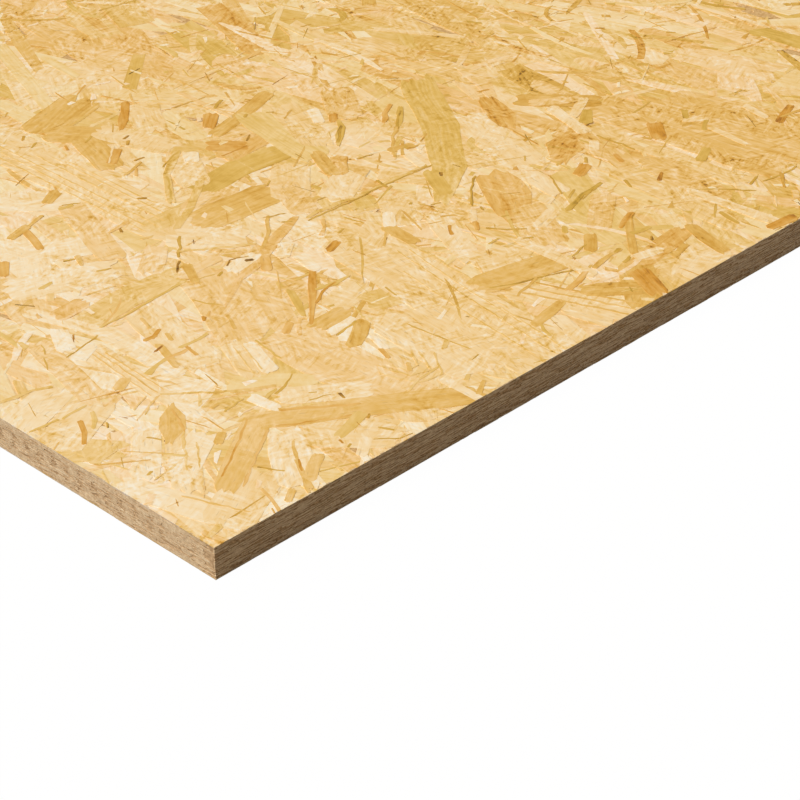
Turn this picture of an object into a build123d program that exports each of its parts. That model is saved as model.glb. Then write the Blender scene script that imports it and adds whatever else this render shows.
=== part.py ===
from build123d import *
import os

# One oriented strand board as it leaves the mill: a flat rectangular sheet, pressed
# from wood strands and glue into one piece and sawn square on all four edges.
# Its edges are plain butt edges with sharp arrises, without tongue, groove or bevel.
# The strands of both faces lie mostly along the sheet's length.
# +X runs along the length and +Y across the width. The origin is the centre of the underside.

SHEET_LENGTH = 2500.0  # along X, the direction that the face strands follow
SHEET_WIDTH = 1250.0  # along Y
SHEET_THICKNESS = 18.0  # along Z, from the underside up to the top face


def osb_sheet(length, width, thickness):
    """The pressed board, cut square to its sold size and lying on its underside."""
    outline = Rectangle(length, width)
    return extrude(outline, amount=thickness)


os.makedirs("parts", exist_ok=True)
sheet = osb_sheet(SHEET_LENGTH, SHEET_WIDTH, SHEET_THICKNESS)
export_step(sheet, "parts/osb_sheet.step")
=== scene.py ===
import math
import random

import bmesh
import bpy
from mathutils import Matrix, Vector, noise


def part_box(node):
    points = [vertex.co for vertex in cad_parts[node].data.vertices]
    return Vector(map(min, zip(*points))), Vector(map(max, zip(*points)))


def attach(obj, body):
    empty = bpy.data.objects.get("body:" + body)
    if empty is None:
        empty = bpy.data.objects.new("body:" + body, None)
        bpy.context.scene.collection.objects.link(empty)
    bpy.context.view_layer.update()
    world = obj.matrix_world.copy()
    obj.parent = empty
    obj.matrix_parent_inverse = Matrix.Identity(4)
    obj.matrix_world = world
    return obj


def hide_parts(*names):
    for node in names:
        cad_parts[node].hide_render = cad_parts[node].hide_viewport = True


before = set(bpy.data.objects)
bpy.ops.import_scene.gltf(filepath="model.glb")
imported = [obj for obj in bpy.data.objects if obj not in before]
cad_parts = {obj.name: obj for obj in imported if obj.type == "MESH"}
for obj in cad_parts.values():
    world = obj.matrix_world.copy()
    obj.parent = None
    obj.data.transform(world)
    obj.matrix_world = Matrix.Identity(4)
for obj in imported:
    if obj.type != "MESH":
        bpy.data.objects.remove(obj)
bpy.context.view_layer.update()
sheet_low, sheet_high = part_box("osb_sheet")
sheet_size = sheet_high - sheet_low


# The glued core.
# Under the strands that show, the board is a dense mat of wood strands and brown glue,
# hot-pressed into one block. It shows only in the small gaps between the outer strands.

CORE_BELOW_FACE = 0.00046
CORE_BEHIND_EDGE = 0.00030
CORE_CELL = 0.05
CORE_ROUGHNESS_HEIGHT = 0.0001
CORE_LUMPS_PER_METRE = 40
CORE_CRUMBS_PER_METRE = (420.0, 560.0, 800.0)
SAWN_CORE_BROWNS = ((156, 123, 86), (210, 177, 135))
CRUSHED_CORE_BROWNS = ((196, 152, 92), (226, 190, 134))


class Wire:
    """One output of a node. Python's operators on it add Math nodes to the same tree."""

    def __init__(self, graph, socket):
        self.graph = graph
        self.socket = socket

    def __add__(self, other):
        return self.graph.math("ADD", self, other)

    def __sub__(self, other):
        return self.graph.math("SUBTRACT", self, other)

    def __rsub__(self, other):
        return self.graph.math("SUBTRACT", other, self)

    def __mul__(self, other):
        return self.graph.math("MULTIPLY", self, other)

    def __truediv__(self, other):
        return self.graph.math("DIVIDE", self, other)

    __radd__ = __add__
    __rmul__ = __mul__


class Graph:
    """A node tree that is being wired, for a material or for Geometry Nodes."""

    def __init__(self, tree):
        self.tree = tree

    def node(self, kind, settings=None, sockets=None, output=0):
        """Adds any node, sets its settings first and then its sockets, and returns one output."""
        made = self.tree.nodes.new(kind)
        for name, value in (settings or {}).items():
            if name == "stops":
                self.set_stops(made.color_ramp, value)
            else:
                setattr(made, name, value)
        for name, value in (sockets or {}).items():
            self.feed(self.find(made.inputs, name), value)
        return Wire(self, self.find(made.outputs, output)) if made.outputs else None

    def find(self, sockets, name):
        """The socket of that number, or the one of that name which is in use."""
        if isinstance(name, int):
            return sockets[name]
        return next(socket for socket in sockets if socket.name == name and socket.enabled)

    def feed(self, socket, value):
        """Links a wire to the socket, or several wires, or sets the socket's own value."""
        if isinstance(value, list):
            for wire in value:
                self.tree.links.new(wire.socket, socket)
        elif isinstance(value, Wire):
            self.tree.links.new(value.socket, socket)
        else:
            socket.default_value = value

    def set_stops(self, ramp, stops):
        """Gives a colour ramp these colours at these places."""
        while len(ramp.elements) < len(stops):
            ramp.elements.new(1.0)
        for element, (place, tint) in zip(ramp.elements, stops):
            element.position = place
            element.color = tint

    def math(self, operation, *values):
        return self.node("ShaderNodeMath", {"operation": operation}, dict(enumerate(values)))

    def vector(self, operation, *values):
        return self.node("ShaderNodeVectorMath", {"operation": operation}, dict(enumerate(values)))

    def join(self, x, y, z):
        return self.node("ShaderNodeCombineXYZ", {}, {"X": x, "Y": y, "Z": z})

    def split(self, wire):
        apart = self.node("ShaderNodeSeparateXYZ", {}, {"Vector": wire}).socket.node
        return [Wire(self, socket) for socket in apart.outputs]

    def attribute(self, name):
        """The three numbers that a strand carries under that name."""
        return self.split(self.node("ShaderNodeAttribute", {"attribute_name": name}, {}, "Vector"))

    def smooth(self, value, start, end):
        """Goes softly from 0 at start to 1 at end, and stays level beyond both."""
        return self.node(
            "ShaderNodeMapRange",
            {"interpolation_type": "SMOOTHSTEP"},
            {"Value": value, "From Min": start, "From Max": end},
        )

    def level(self):
        """1 where the surface lies level, and 0 where it stands upright."""
        normal = self.node("ShaderNodeNewGeometry", {}, {}, "True Normal")
        return self.smooth(self.math("ABSOLUTE", self.split(normal)[2]), 0.4, 0.6)

    def noise(self, place, detail=2.0, roughness=0.5, distortion=0.0):
        """Noise of one cell to a unit of place, from 0 to 1 and mostly near 0.5."""
        sockets = {"Vector": place, "Scale": 1.0, "Detail": detail, "Roughness": roughness}
        sockets["Distortion"] = distortion
        return self.node("ShaderNodeTexNoise", {}, sockets)

    def bump(self, height, strength, depth):
        """Shading as if the surface rose by up to that depth."""
        sockets = {"Strength": strength, "Distance": depth, "Height": height}
        return self.node("ShaderNodeBump", {}, sockets)

    def blend(self, share, first, second, how="MIX"):
        """Mixes two colours."""
        return self.node(
            "ShaderNodeMix",
            {"data_type": "RGBA", "blend_type": how},
            {"Factor": share, "A": first, "B": second},
            "Result",
        )


def paint(red, green, blue):
    """A colour written in 0 to 255 as a screen shows it, as the linear colour nodes use."""
    steps = [value / 255 for value in (red, green, blue)]
    linear = [step / 12.92 if step <= 0.04045 else ((step + 0.055) / 1.055) ** 2.4 for step in steps]
    return (*linear, 1.0)


def new_material(name):
    """An empty material with its output, and the graph to wire it in."""
    material = bpy.data.materials.new(name)
    material.use_nodes = True
    material.node_tree.nodes.clear()
    return material, Graph(material.node_tree)


def close_material(graph, **sockets):
    """Puts a Principled shader with these sockets on the material's output."""
    named = {name.replace("_", " "): value for name, value in sockets.items()}
    shader = graph.node("ShaderNodeBsdfPrincipled", {}, named)
    graph.node("ShaderNodeOutputMaterial", {}, {"Surface": shader})


def glued_core_material():
    """Crushed wood behind the face strands, and browner sawn ends behind the edges."""
    material, graph = new_material("glued_core")
    place = graph.node("ShaderNodeTexCoord", {}, {}, "Object")
    crumbs = graph.noise(graph.vector("MULTIPLY", place, CORE_CRUMBS_PER_METRE), 3.0)
    mixed = graph.smooth(crumbs, 0.3, 0.7)
    sawn = graph.blend(mixed, *[paint(*brown) for brown in SAWN_CORE_BROWNS])
    crushed = graph.blend(mixed, *[paint(*brown) for brown in CRUSHED_CORE_BROWNS])
    tint = graph.blend(graph.level(), sawn, crushed)
    close_material(graph, Base_Color=tint, Roughness=0.75, Normal=graph.bump(crumbs, 0.6, 0.0002))
    return material


def keep_piece(name, mesh, material):
    """Makes the mesh a piece of the board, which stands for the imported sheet."""
    mesh.name = name
    mesh.materials.clear()
    mesh.materials.append(material)
    mesh.polygons.foreach_set("material_index", [0] * len(mesh.polygons))
    piece = bpy.data.objects.new(name, mesh)
    bpy.context.scene.collection.objects.link(piece)
    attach(piece, "root")
    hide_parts("osb_sheet")
    return piece


def core_mesh():
    """A closed block, cut into cells, whose faces are a little uneven."""
    low = sheet_low + Vector((CORE_BEHIND_EDGE, CORE_BEHIND_EDGE, CORE_BELOW_FACE))
    high = sheet_high - Vector((CORE_BEHIND_EDGE, CORE_BEHIND_EDGE, CORE_BELOW_FACE))
    size = high - low
    shape = bmesh.new()
    for height in (0, 1):
        bmesh.ops.create_grid(
            shape,
            x_segments=round(size.x / CORE_CELL),
            y_segments=round(size.y / CORE_CELL),
            size=0.5,
            matrix=Matrix.Translation((0, 0, height)),
        )
    bmesh.ops.bridge_loops(shape, edges=[edge for edge in shape.edges if edge.is_boundary])
    for vertex in shape.verts:
        vertex.co.x = low.x + (vertex.co.x + 0.5) * size.x
        vertex.co.y = low.y + (vertex.co.y + 0.5) * size.y
        inward = -1 if vertex.co.z > 0.5 else 1
        vertex.co.z = low.z + vertex.co.z * size.z
        lump = 0.5 + 0.5 * noise.noise(vertex.co * CORE_LUMPS_PER_METRE)
        vertex.co.z += inward * CORE_ROUGHNESS_HEIGHT * lump
    bmesh.ops.recalc_face_normals(shape, faces=shape.faces)
    mesh = bpy.data.meshes.new("glued_core")
    shape.to_mesh(mesh)
    shape.free()
    return mesh


keep_piece("glued_core", core_mesh(), glued_core_material())


# The face strands.
# Thin flakes, cut from poplar and pine logs and 20 to 145 mm long, are laid mostly along the
# sheet, resin-coated and pressed flat over each other, with splinters and chips between them.

FACE_BANDS = 5
FACE_ROWS = 2
FACE_SEED = 100
BORDER_OVERHANG = 0.03
STRAND_TILT = 0.002
CLUMPS_PER_METRE = 13.0
ARRIS_TEAR = 0.00015
ARRIS_TEAR_SPREAD = 7.3

# Shares of a flake's width and length, and of one tooth of its torn end.
HALF_WIDTHS = (0.44, 0.50)
SIDE_REACH = 0.36
END_SLANT = 0.8
TOOTH_JITTER = 0.3
SIDE_JITTER = 0.1

# Whole multiples of these, without the digits before the point, fill a square evenly.
EVEN_STEPS = (0.7548777, 0.5698403)

# Colours of a strand from its palest to its darkest wood, and where they stand on that scale.
WOOD_STEPS = (0.00, 0.22, 0.45, 0.65, 0.82, 0.93, 1.00)
WARM_WOOD = (
    (255, 243, 224), (255, 230, 193), (249, 210, 151), (237, 189, 106),
    (218, 156, 56), (168, 110, 40), (98, 68, 34),
)
OLIVE_WOOD = (
    (255, 245, 218), (252, 231, 185), (245, 212, 144), (230, 190, 98),
    (209, 167, 66), (152, 118, 46), (84, 64, 32),
)

# Patterns in the wood: cells to a metre along the strand and across it, and how strong they are.
DRIFT = (16, 42, 0.26)
GROWTH_BANDS = (10, 260, 0.28)
RING_BENDS = (15, 55, 34)
FIBRES = (55, 1500, 0.14)
CHIPS = (110, 330, 0.24)
FLECKS = (150, 1000, 0.18)
SHAVINGS = (105, 430, 0.13)
SHAVING_PATCHES_PER_METRE = 34
BLOTCHES_PER_METRE = 90.0
RING_RADIANS_PER_METRE = 1900
RING_STRENGTH = 0.03
# The darker rim along a strand's sides is partly glue and partly painted shade of the gap beside it.
RIM_GLUE_AND_SHADE_STRENGTH = 0.03
RIM_GLUE_AND_SHADE_SHARES = (0.42, 0.50)
PATTERN_SHIFT = 83.0

# Each pattern comes in between these two values of its noise.
DARK_SHAVINGS = (0.57, 0.65)
PALE_SHAVINGS = (0.43, 0.35)
SHAVING_PATCHES = (0.44, 0.58)
FLECKED = (0.66, 0.76)
RINGED = (0.46, 0.62)

# From the first of these tones to the second, shaving marks and the deeper colour come in. The deeper
# colour is partly the wood's own and partly painted light falloff.
MARKED_TONES = (0.66, 0.44)
GOLDEN_AND_FALLOFF_TONES = (0.80, 0.50)

# The face is paler along the front long edge, partly its own colour and partly painted light: from, and
# up to, this far across the sheet.
PALE_LIT_STRIP = (-0.60, -0.20)
# Within this reach of a border, sawn ends take their own greyer colour. Up to these heights the lowest
# strands take it too, as painted shade by the floor.
BORDER_REACH = (-0.0010, -0.0005)
LOW_ARRIS_SHADE_HEIGHTS = (0.003, 0.002)
SAWN_TINT_AND_SHADE = (0.62, 0.62, 0.72, 1.0)


def ramp_stops(steps, colours):
    """The stops of a colour ramp."""
    return [(step, paint(*colour)) for step, colour in zip(steps, colours)]


def shavings(graph, x, y, degrees, seed):
    """Marks about 8 mm long and 2 mm wide that lie one way, in patches: above 0 dark, below pale."""
    turned = math.radians(degrees)
    ahead = x * math.cos(turned) + y * math.sin(turned)
    aside = y * math.cos(turned) - x * math.sin(turned)
    streaks = graph.noise(graph.join(ahead * SHAVINGS[0], aside * SHAVINGS[1], seed), 1.0)
    spread = SHAVING_PATCHES_PER_METRE
    patches = graph.noise(graph.join(x * spread, y * spread, seed + 5), 1.0)
    marks = graph.smooth(streaks, *DARK_SHAVINGS) - graph.smooth(streaks, *PALE_SHAVINGS)
    return marks * graph.smooth(patches, *SHAVING_PATCHES)


def sawn_and_shaded_border(graph, x, y, z):
    """1 on the sawn ends of the face strands, and low down on the edges, where it is painted shade by
    the floor, within 1 mm of a border.
    """
    past_end = graph.math("ABSOLUTE", x) - sheet_high.x
    past_side = graph.math("ABSOLUTE", y) - sheet_high.y
    near = graph.smooth(graph.math("MAXIMUM", past_end, past_side), *BORDER_REACH)
    return graph.math("MAXIMUM", 1 - graph.level(), graph.smooth(z, *LOW_ARRIS_SHADE_HEIGHTS)) * near


def strand_material(name, warm_stops, olive_stops, golden_and_falloff, fine, streaked, speckled, mark_angles):
    """Shaved wood under dull resin: growth bands, fibres, flecks, chips, and a darker rim that is partly
    glue and partly painted shade of the gap beside the strand.
    """
    material, graph = new_material(name)
    along, across = graph.attribute("grain")[:2]
    tone, warmth, mark = graph.attribute("wood")
    width = graph.attribute("size")[1]
    place = graph.node("ShaderNodeTexCoord", {}, {}, "Object")
    x, y, z = graph.split(place)
    shift = mark * PATTERN_SHIFT

    def figured(pattern, offset, detail, roughness=0.5, distortion=0.0, finer=(1.0, 1.0)):
        """Noise drawn out along the strand, in a different place on each strand."""
        ahead = along * (pattern[0] * finer[0]) + shift
        spot = graph.join(ahead, across * (pattern[1] * finer[1]), shift + offset)
        return graph.noise(spot, detail, roughness, distortion)

    drift = figured(DRIFT, 0, 1.0)
    bands = figured(GROWTH_BANDS, 7, 2.0, 0.6)
    bend = figured(RING_BENDS, 11, 1.0)
    chips = figured(CHIPS, 19, 2.0, 0.55, 0.8, (fine, fine))
    flecks = figured(FLECKS, 5, 1.0, finer=(fine, 1.0))
    threads = graph.join(along * (FIBRES[0] * fine), across * FIBRES[1] + shift, shift + 3)
    fibres = graph.noise(threads, 2.0, 0.6)
    rings = graph.math("SINE", across * RING_RADIANS_PER_METRE + bend * RING_BENDS[2] + shift)
    ringed = graph.smooth(graph.noise(graph.join(shift * 5, 0.5, 0.5), 0.0), *RINGED)
    # A darker rim along the strand's sides: partly glue, partly painted shade of the gap beside it.
    rim = graph.smooth(graph.math("ABSOLUTE", across) / width, *RIM_GLUE_AND_SHADE_SHARES)
    spots = graph.vector("MULTIPLY", place, (BLOTCHES_PER_METRE * fine,) * 3)
    blotches = graph.noise(spots, 3.0, 0.62, 0.7)

    # Olive strands are calmer than the others: their chips, flecks and marks are fainter.
    lively = graph.math("MINIMUM", warmth * 2.0 + 0.3, 1.0)
    depth = tone + (drift - 0.5) * (DRIFT[2] * streaked)
    depth = depth + (bands - 0.5) * (GROWTH_BANDS[2] * streaked)
    depth = depth + (fibres - 0.5) * (FIBRES[2] * streaked)
    depth = depth + rings * ringed * RING_STRENGTH + rim * RIM_GLUE_AND_SHADE_STRENGTH
    depth = depth + (blotches - 0.5) * speckled + (chips - 0.5) * lively * CHIPS[2]
    marked = graph.smooth(tone, *MARKED_TONES) * lively * SHAVINGS[2]
    for seed, degrees in enumerate(mark_angles):
        depth = depth + shavings(graph, x, y, degrees, seed * 9.0) * marked
    # Deeper, more golden wood away from the front long edge: partly its own colour, partly painted light
    # falloff.
    if golden_and_falloff:
        far = {"Value": y, "From Min": PALE_LIT_STRIP[0], "From Max": PALE_LIT_STRIP[1]}
        far = graph.node("ShaderNodeMapRange", {}, far)
        depth = depth + far * golden_and_falloff * graph.smooth(tone, *GOLDEN_AND_FALLOFF_TONES)

    warm = graph.node("ShaderNodeValToRGB", {"stops": warm_stops}, {"Fac": depth})
    olive = graph.node("ShaderNodeValToRGB", {"stops": olive_stops}, {"Fac": depth})
    flecked = graph.smooth(flecks, *FLECKED) * lively * FLECKS[2]
    tint = graph.blend(flecked, graph.blend(warmth, olive, warm), warm_stops[-1][1])
    if golden_and_falloff:
        # Within 1 mm of a border: the sawn ends' own greyer colour, and low down by the floor painted
        # shade.
        tint = graph.blend(sawn_and_shaded_border(graph, x, y, z), tint, SAWN_TINT_AND_SHADE, "MULTIPLY")
    relief = fibres * 0.5 + bands * 0.8 + rings * ringed * 0.1 + chips * 0.5
    height = graph.bump(relief, 0.45, 0.00025)
    close_material(graph, Base_Color=tint, Roughness=0.46 + fibres * 0.16, Normal=height)
    return material


def close_sides(shape, top, under):
    """Joins the rim of a flake's top to the rim of its underside."""
    for here in range(len(top)):
        after = (here + 1) % len(top)
        shape.faces.new((top[here], under[here], under[after], top[after]))


def prism(shape, outline):
    """Adds a closed flake to the shape: the outline at height 0, and again 1 below."""
    top = [shape.verts.new((x, y, 0)) for x, y in outline]
    under = [shape.verts.new((x, y, -1)) for x, y in outline]
    shape.faces.new(top)
    shape.faces.new(list(reversed(under)))
    close_sides(shape, top, under)


def ragged_end(draw, teeth, depth):
    """How far the splinters of one end fall short of it, from one side to the other."""
    marks = []
    slant = draw.uniform(-END_SLANT, END_SLANT) * depth
    for tooth in range(teeth + 1):
        side = 0.5 - tooth / teeth
        if 0 < tooth < teeth:
            side += draw.uniform(-TOOTH_JITTER, TOOTH_JITTER) / teeth
        marks.append((side, depth * draw.random() + abs(slant) / 2 + slant * side))
    return marks


def flake_outline(draw, teeth, depth, taper, bow, stations):
    """The outline of a flake of length 1 and width 1, anticlockwise, with points along its sides."""
    right = ragged_end(draw, teeth, depth)
    left = ragged_end(draw, teeth, depth)
    narrow_right = 1 - taper * draw.random()
    narrow_left = 1 - taper * draw.random()
    sides = [SIDE_REACH * (1 - 2 * (number + 0.5) / stations) for number in range(stations)]

    def jittered(x):
        return x + draw.uniform(-SIDE_JITTER, SIDE_JITTER) / stations

    upper = [(jittered(x), draw.uniform(*HALF_WIDTHS)) for x in sides]
    lower = [(jittered(-x), -draw.uniform(*HALF_WIDTHS)) for x in sides]
    outline = [(0.5 - short, -y * narrow_right) for y, short in right] + upper
    outline += [(-0.5 + short, y * narrow_left) for y, short in left] + lower
    return [(x, y + bow * (0.25 - x * x)) for x, y in outline]


def flake_library(name, count, seed, teeth, depth, taper, bow, stations):
    """A collection of differently broken flakes, which a layer picks from."""
    draw = random.Random(seed)
    library = bpy.data.collections.new(name)
    for number in range(count):
        number_of_teeth = draw.choice(teeth)
        tear = depth * draw.uniform(0.5, 1.5)
        curve = draw.uniform(-bow, bow)
        outline = flake_outline(draw, number_of_teeth, tear, taper, curve, stations)
        shape = bmesh.new()
        prism(shape, outline)
        mesh = bpy.data.meshes.new(f"{name}_{number:02d}")
        shape.to_mesh(mesh)
        shape.free()
        grain = mesh.attributes.new("grain", "FLOAT_VECTOR", "POINT")
        for vertex, here in zip(mesh.vertices, grain.data):
            here.vector = (vertex.co.x, vertex.co.y, 0)
        library.objects.link(bpy.data.objects.new(f"{name}_{number:02d}", mesh))
    return library


def layer_tree():
    """Geometry Nodes: strews flakes over a patch and adds them to what is already there."""
    tree = bpy.data.node_groups.new("strand_layer", "GeometryNodeTree")
    for name, kind in (
        ("Geometry", "Geometry"),
        ("Flakes", "Collection"),
        ("Patch Low", "Vector"),
        ("Patch High", "Vector"),
        ("Count", "Int"),
        ("Sparse Below", "Float"),
        ("Smallest", "Vector"),
        ("Largest", "Vector"),
        ("Lean", "Float"),
        ("Tilt", "Float"),
        ("Palest", "Vector"),
        ("Darkest", "Vector"),
        ("Seed", "Int"),
        ("Material", "Material"),
    ):
        tree.interface.new_socket(name, in_out="INPUT", socket_type="NodeSocket" + kind)
    tree.interface.new_socket("Geometry", in_out="OUTPUT", socket_type="NodeSocketGeometry")
    graph = Graph(tree)
    inputs = graph.node("NodeGroupInput").socket.node

    def given(name):
        return Wire(graph, inputs.outputs[name])

    def chance(kind, low, high, offset):
        sockets = {"Min": low, "Max": high, "Seed": given("Seed") * 31 + offset}
        return graph.node("FunctionNodeRandomValue", {"data_type": kind}, sockets, "Value")

    def stored(geometry, name, kind, domain, value):
        return graph.node(
            "GeometryNodeStoreNamedAttribute",
            {"data_type": kind, "domain": domain},
            {"Geometry": geometry, "Name": name, "Value": value},
        )

    def read(name):
        settings = {"data_type": "FLOAT_VECTOR"}
        return graph.node("GeometryNodeInputNamedAttribute", settings, {"Name": name})

    number = graph.node("GeometryNodeInputIndex") + given("Seed") * 17
    even = graph.join(
        *[graph.math("FRACT", number * step) for step in EVEN_STEPS], chance("FLOAT", 0.0, 1.0, 1)
    )
    reach = graph.vector("SUBTRACT", given("Patch High"), given("Patch Low"))
    place = graph.vector("MULTIPLY_ADD", even, reach, given("Patch Low"))
    points = graph.node("GeometryNodePoints", {}, {"Count": given("Count"), "Position": place})
    spread = (CLUMPS_PER_METRE, CLUMPS_PER_METRE, 0.0)
    clumps = graph.noise(graph.vector("MULTIPLY", place, spread), 1.0)
    sparse = graph.math("LESS_THAN", clumps, given("Sparse Below"))
    points = graph.node("GeometryNodeDeleteGeometry", {}, {"Geometry": points, "Selection": sparse})
    size = chance("FLOAT_VECTOR", given("Smallest"), given("Largest"), 2)
    wood = chance("FLOAT_VECTOR", given("Palest"), given("Darkest"), 3)
    points = stored(points, "size", "FLOAT_VECTOR", "POINT", size)
    points = stored(points, "wood", "FLOAT_VECTOR", "POINT", wood)
    spin = chance("FLOAT", -0.5, 0.5, 4) + chance("FLOAT", -0.5, 0.5, 5)
    turned = graph.math("ROUND", chance("FLOAT", 0.0, 1.0, 6)) * math.pi
    # A flake rolls up to the whole tilt, but it pitches less, because it is long.
    roll = chance("FLOAT", -1.0, 1.0, 7) * given("Tilt")
    pitch = chance("FLOAT", -0.3, 0.3, 8) * given("Tilt")
    turn = graph.join(roll, pitch, spin * given("Lean") + turned)
    flakes = graph.node(
        "GeometryNodeCollectionInfo",
        {},
        {"Collection": given("Flakes"), "Separate Children": True, "Reset Children": True},
    )
    laid = graph.node(
        "GeometryNodeInstanceOnPoints",
        {},
        {
            "Points": points,
            "Instance": flakes,
            "Pick Instance": True,
            "Instance Index": chance("INT", 0, 1000, 9),
            "Rotation": graph.node("FunctionNodeEulerToRotation", {}, {"Euler": turn}),
            "Scale": read("size"),
        },
    )
    real = graph.node("GeometryNodeRealizeInstances", {}, {"Geometry": laid})
    scaled = graph.vector("MULTIPLY", read("grain"), read("size"))
    real = stored(real, "grain", "FLOAT_VECTOR", "POINT", scaled)
    real = graph.node("GeometryNodeSetMaterial", {}, {"Geometry": real, "Material": given("Material")})
    both = graph.node("GeometryNodeJoinGeometry", {}, {"Geometry": [given("Geometry"), real]})
    graph.node("NodeGroupOutput", {}, {"Geometry": both})
    return tree


def grow(tree, layers):
    """Runs the tree once for each layer and returns the plain mesh of them all."""
    carrier = bpy.data.objects.new("carrier", bpy.data.meshes.new("carrier"))
    bpy.context.scene.collection.objects.link(carrier)
    inputs = [item for item in tree.interface.items_tree if item.in_out == "INPUT"]
    sockets = {item.name: item.identifier for item in inputs}
    for layer in layers:
        modifier = carrier.modifiers.new("layer", "NODES")
        modifier.node_group = tree
        for name, value in layer.items():
            modifier[sockets[name]] = value
    depsgraph = bpy.context.evaluated_depsgraph_get()
    mesh = bpy.data.meshes.new_from_object(
        carrier.evaluated_get(depsgraph), preserve_all_data_layers=True, depsgraph=depsgraph
    )
    start = carrier.data
    bpy.data.objects.remove(carrier)
    bpy.data.meshes.remove(start)
    return mesh


def saw_flush(shape, low, high, torn):
    """Cuts what stands over the sheet's borders, and closes the cut ends a little unevenly."""
    for axis, limit, way in ((0, low.x, -1), (0, high.x, 1), (1, low.y, -1), (1, high.y, 1)):
        if not any(way * vertex.co[axis] > way * limit for vertex in shape.verts):
            continue
        point = Vector((0, 0, 0))
        point[axis] = limit
        normal = Vector((0, 0, 0))
        normal[axis] = way
        parts = list(shape.verts) + list(shape.edges) + list(shape.faces)
        cut = bmesh.ops.bisect_plane(
            shape, geom=parts, dist=1e-7, plane_co=point, plane_no=normal, clear_outer=True
        )
        rim = [part for part in cut["geom_cut"] if isinstance(part, bmesh.types.BMEdge)]
        open_rim = [edge for edge in rim if len(edge.link_faces) == 1]
        bmesh.ops.holes_fill(shape, edges=open_rim, sides=0)
        wood = shape.verts.layers.float_vector["wood"]
        for vertex in {vertex for edge in rim for vertex in edge.verts}:
            vertex.co[axis] -= way * torn * (vertex[wood].z * ARRIS_TEAR_SPREAD % 1.0)


def finish_patch(mesh, low, high):
    """Saws the patch flush, sorts its faces upwards, and gives it a plan-view map."""
    shape = bmesh.new()
    shape.from_mesh(mesh)
    saw_flush(shape, low, high, ARRIS_TEAR)
    shape.faces.sort(key=lambda face: face.calc_center_median().z)
    plan = shape.loops.layers.uv.new("OFBake")
    left = min(vertex.co.x for vertex in shape.verts)
    front = min(vertex.co.y for vertex in shape.verts)
    wide = max(vertex.co.x for vertex in shape.verts) - left
    deep = max(vertex.co.y for vertex in shape.verts) - front
    for face in shape.faces:
        for loop in face.loops:
            here = loop.vert.co
            loop[plan].uv = ((here.x - left) / wide, (here.y - front) / deep)
    shape.to_mesh(mesh)
    shape.free()
    return mesh


# Each kind of flake: how many, their seed, teeth of a torn end, its depth, how much narrower an
# end may be, how far the flake bends, and the number of points along a side.
broad_flakes = flake_library("broad_flake", 24, 3, (2, 3, 4), 0.10, 0.35, 0.5, 1)
plain_flakes = flake_library("plain_flake", 12, 5, (2,), 0.07, 0.2, 0.3, 1)
curved_flakes = flake_library("curved_flake", 24, 11, (1,), 0.10, 0.6, 7.0, 3)
thin_flakes = flake_library("splinter", 16, 7, (1,), 0.20, 0.7, 0.0, 0)
chip_flakes = flake_library("chip", 16, 9, (1,), 0.22, 0.5, 0.0, 0)
strand_layer = layer_tree()
face_wood = strand_material(
    "face_strands",
    ramp_stops(WOOD_STEPS, WARM_WOOD),
    ramp_stops(WOOD_STEPS, OLIVE_WOOD),
    golden_and_falloff=0.19,
    fine=1.0,
    streaked=1.0,
    speckled=0.36,
    mark_angles=(15, -30, 70, -68),
)

# Each layer: flakes, how many to a square metre, the noise below which there are none, smallest
# and largest size, lean, depths of their tops below the face, and palest and darkest tone.
FACE_LAYERS = (
    (plain_flakes, 1200, 0.0, (0.070, 0.014, 0.0005), (0.145, 0.036, 0.0005), 0.7,
     (0.00038, 0.00026), (0.18, 0.48)),
    (broad_flakes, 900, 0.0, (0.045, 0.009, 0.0004), (0.130, 0.028, 0.0004), 1.0,
     (0.00032, 0.00020), (0.10, 0.52)),
    (broad_flakes, 400, 0.0, (0.025, 0.004, 0.0003), (0.080, 0.010, 0.0003), 1.5,
     (0.00028, 0.00017), (0.06, 0.60)),
    (curved_flakes, 1300, 0.47, (0.018, 0.0014, 0.0003), (0.065, 0.0050, 0.0003), 2.2,
     (0.00024, 0.00012), (0.08, 0.62)),
    (thin_flakes, 3200, 0.47, (0.006, 0.0006, 0.0002), (0.040, 0.0018, 0.0002), 2.4,
     (0.00022, 0.00010), (0.22, 0.74)),
    (chip_flakes, 5600, 0.48, (0.003, 0.0008, 0.0002), (0.015, 0.0045, 0.0002), 3.0,
     (0.00022, 0.00010), (0.00, 0.66)),
    (chip_flakes, 340, 0.50, (0.0012, 0.0005, 0.0002), (0.0045, 0.0014, 0.0002), 3.0,
     (0.00012, 0.00008), (0.72, 0.94)),
    (thin_flakes, 560, 0.46, (0.005, 0.0004, 0.0002), (0.018, 0.0012, 0.0002), 2.2,
     (0.00012, 0.00008), (0.72, 0.90)),
)


def face_patch(band, bands, row, rows):
    """Corners of one patch of the sheet, which reaches past the borders as the flakes do uncut."""
    low = Vector((sheet_low.x + sheet_size.x * band / bands, sheet_low.y + sheet_size.y * row / rows, 0))
    high = low + Vector((sheet_size.x / bands, sheet_size.y / rows, 0))
    low -= Vector((band == 0, row == 0, 0)) * BORDER_OVERHANG
    high += Vector((band == bands - 1, row == rows - 1, 0)) * BORDER_OVERHANG
    return low, high


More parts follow.
